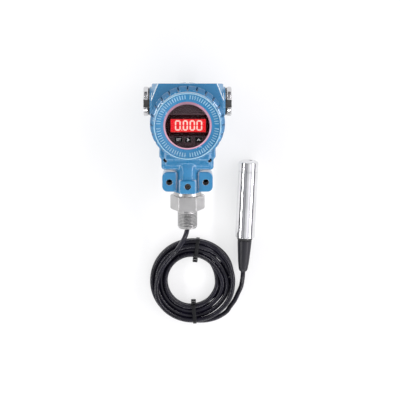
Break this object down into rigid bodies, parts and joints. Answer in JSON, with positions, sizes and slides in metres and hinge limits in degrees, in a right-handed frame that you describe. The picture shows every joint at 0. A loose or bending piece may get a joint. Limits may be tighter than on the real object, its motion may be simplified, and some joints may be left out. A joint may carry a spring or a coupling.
{
  "type": "level transmitter",
  "caption": "Submersible level transmitter: die-cast display head with screw covers and conduit plugs, hex process fitting, coiled cable and steel probe, lying flat.",
  "frame": {"origin": "centre of the rear cover's flat outer face, on which the head lies", "axes": "+X the head's right seen from the display, +Y the head's top, +Z out of the display"},
  "size_m": [0.1153, 0.2584, 0.084],
  "materials": {
    "enamel": "gloss enamel on die casting",
    "steel": "turned stainless",
    "probe_steel": "polished stainless",
    "chrome": "bright plated",
    "glass": "clear toughened",
    "rubber": "black seal",
    "boot_rubber": "satin moulded",
    "cable_jacket": "semi-gloss black jacket",
    "tie": "black nylon",
    "faceplate": "satin dark film",
    "display_red": "lit red filter",
    "digit": "lit segments",
    "key": "black key",
    "board": "solder mask",
    "terminal": "moulded",
    "brass": "plated"
  },
  "bodies": {
    "head": {"housing": "enamel", "housing_neck": "enamel", "display_faceplate": "faceplate", "display_filter": "display_red", "digit_1": "digit", "digit_2": "digit", "digit_3": "digit", "digit_4": "digit", "display_board": "board", "main_board": "board", "standoff_1": "brass", "standoff_2": "brass", "standoff_3": "brass", "terminal_block": "terminal", "terminal_screw_1": "brass", "terminal_screw_2": "brass", "terminal_screw_3": "brass", "ground_screw": "brass", "clamp_screw": "steel", "cable_lead": "cable_jacket", "cable_coil": "cable_jacket", "cable_tail": "cable_jacket", "cable_tie_top": "tie", "cable_tie_bottom": "tie", "probe_tube": "probe_steel", "sensor_cell": "steel", "probe_board": "board", "probe_collar": "boot_rubber", "probe_boot": "boot_rubber"},
    "front_seal": {"front_cover_seal": "rubber"},
    "front_lid": {"front_cover": "enamel", "window_glass": "glass", "window_gasket": "rubber", "window_retainer": "steel"},
    "rear_seal": {"rear_cover_seal": "rubber"},
    "rear_lid": {"rear_cover": "enamel"},
    "left_seal": {"left_plug_seal": "rubber"},
    "left_stopper": {"left_plug": "chrome"},
    "right_seal": {"right_plug_seal": "rubber"},
    "right_stopper": {"right_plug": "chrome"},
    "set_key": {"set_button": "key"},
    "shift_key": {"shift_button": "key"},
    "up_key": {"up_button": "key"},
    "fitting": {"fitting_collar": "steel", "process_fitting": "steel", "cable_grommet": "rubber"},
    "tip_seal": {"nose_seal": "rubber"},
    "tip": {"probe_nose": "probe_steel"}
  },
  "joints": [
    {"name": "front_cover_travel", "type": "slide", "parent": "head", "child": "front_seal", "axis": [0, 0, 1], "range_m": [0, 0.01]},
    {"name": "front_cover_turn", "type": "hinge", "parent": "front_seal", "child": "front_lid", "pos_m": [0, 0, 0.07], "axis": [0, 0, 1], "range_deg": [0, 1800]},
    {"name": "rear_cover_travel", "type": "slide", "parent": "head", "child": "rear_seal", "axis": [0, 0, -1], "range_m": [0, 0.008]},
    {"name": "rear_cover_turn", "type": "hinge", "parent": "rear_seal", "child": "rear_lid", "pos_m": [0, 0, 0.006], "axis": [0, 0, -1], "range_deg": [0, 1440]},
    {"name": "left_plug_travel", "type": "slide", "parent": "head", "child": "left_seal", "axis": [-1, 0, 0], "range_m": [0, 0.009]},
    {"name": "left_plug_turn", "type": "hinge", "parent": "left_seal", "child": "left_stopper", "pos_m": [-0.04, 0.0166, 0.036], "axis": [-1, 0, 0], "range_deg": [0, 2160]},
    {"name": "right_plug_travel", "type": "slide", "parent": "head", "child": "right_seal", "axis": [1, 0, 0], "range_m": [0, 0.009]},
    {"name": "right_plug_turn", "type": "hinge", "parent": "right_seal", "child": "right_stopper", "pos_m": [0.04, 0.0166, 0.036], "axis": [1, 0, 0], "range_deg": [0, 2160]},
    {"name": "nose_travel", "type": "slide", "parent": "head", "child": "tip_seal", "axis": [0.0412, 0.9992, 0], "range_m": [0, 0.005]},
    {"name": "nose_turn", "type": "hinge", "parent": "tip_seal", "child": "tip", "pos_m": [0.06184, -0.05456, 0.01], "axis": [0.0412, 0.9992, 0], "range_deg": [0, 1800]},
    {"name": "set_key_press", "type": "slide", "parent": "head", "child": "set_key", "axis": [0, 0, -1], "range_m": [0, 0.0008], "stiffness_N_per_m": 300},
    {"name": "shift_key_press", "type": "slide", "parent": "head", "child": "shift_key", "axis": [0, 0, -1], "range_m": [0, 0.0008], "stiffness_N_per_m": 300},
    {"name": "up_key_press", "type": "slide", "parent": "head", "child": "up_key", "axis": [0, 0, -1], "range_m": [0, 0.0008], "stiffness_N_per_m": 300},
    {"name": "fitting_swivel", "type": "hinge", "parent": "head", "child": "fitting", "pos_m": [0, -0.09, 0.036], "axis": [0, -1, 0], "range_deg": [-180, 180]}
  ],
  "couplings": [
    {"joint": "front_cover_turn", "follows": "front_cover_travel", "rad_per_m": 3141.6},
    {"joint": "rear_cover_turn", "follows": "rear_cover_travel", "rad_per_m": 3141.6},
    {"joint": "left_plug_turn", "follows": "left_plug_travel", "rad_per_m": 4188.8},
    {"joint": "right_plug_turn", "follows": "right_plug_travel", "rad_per_m": 4188.8},
    {"joint": "nose_turn", "follows": "nose_travel", "rad_per_m": 6283.2}
  ]
}
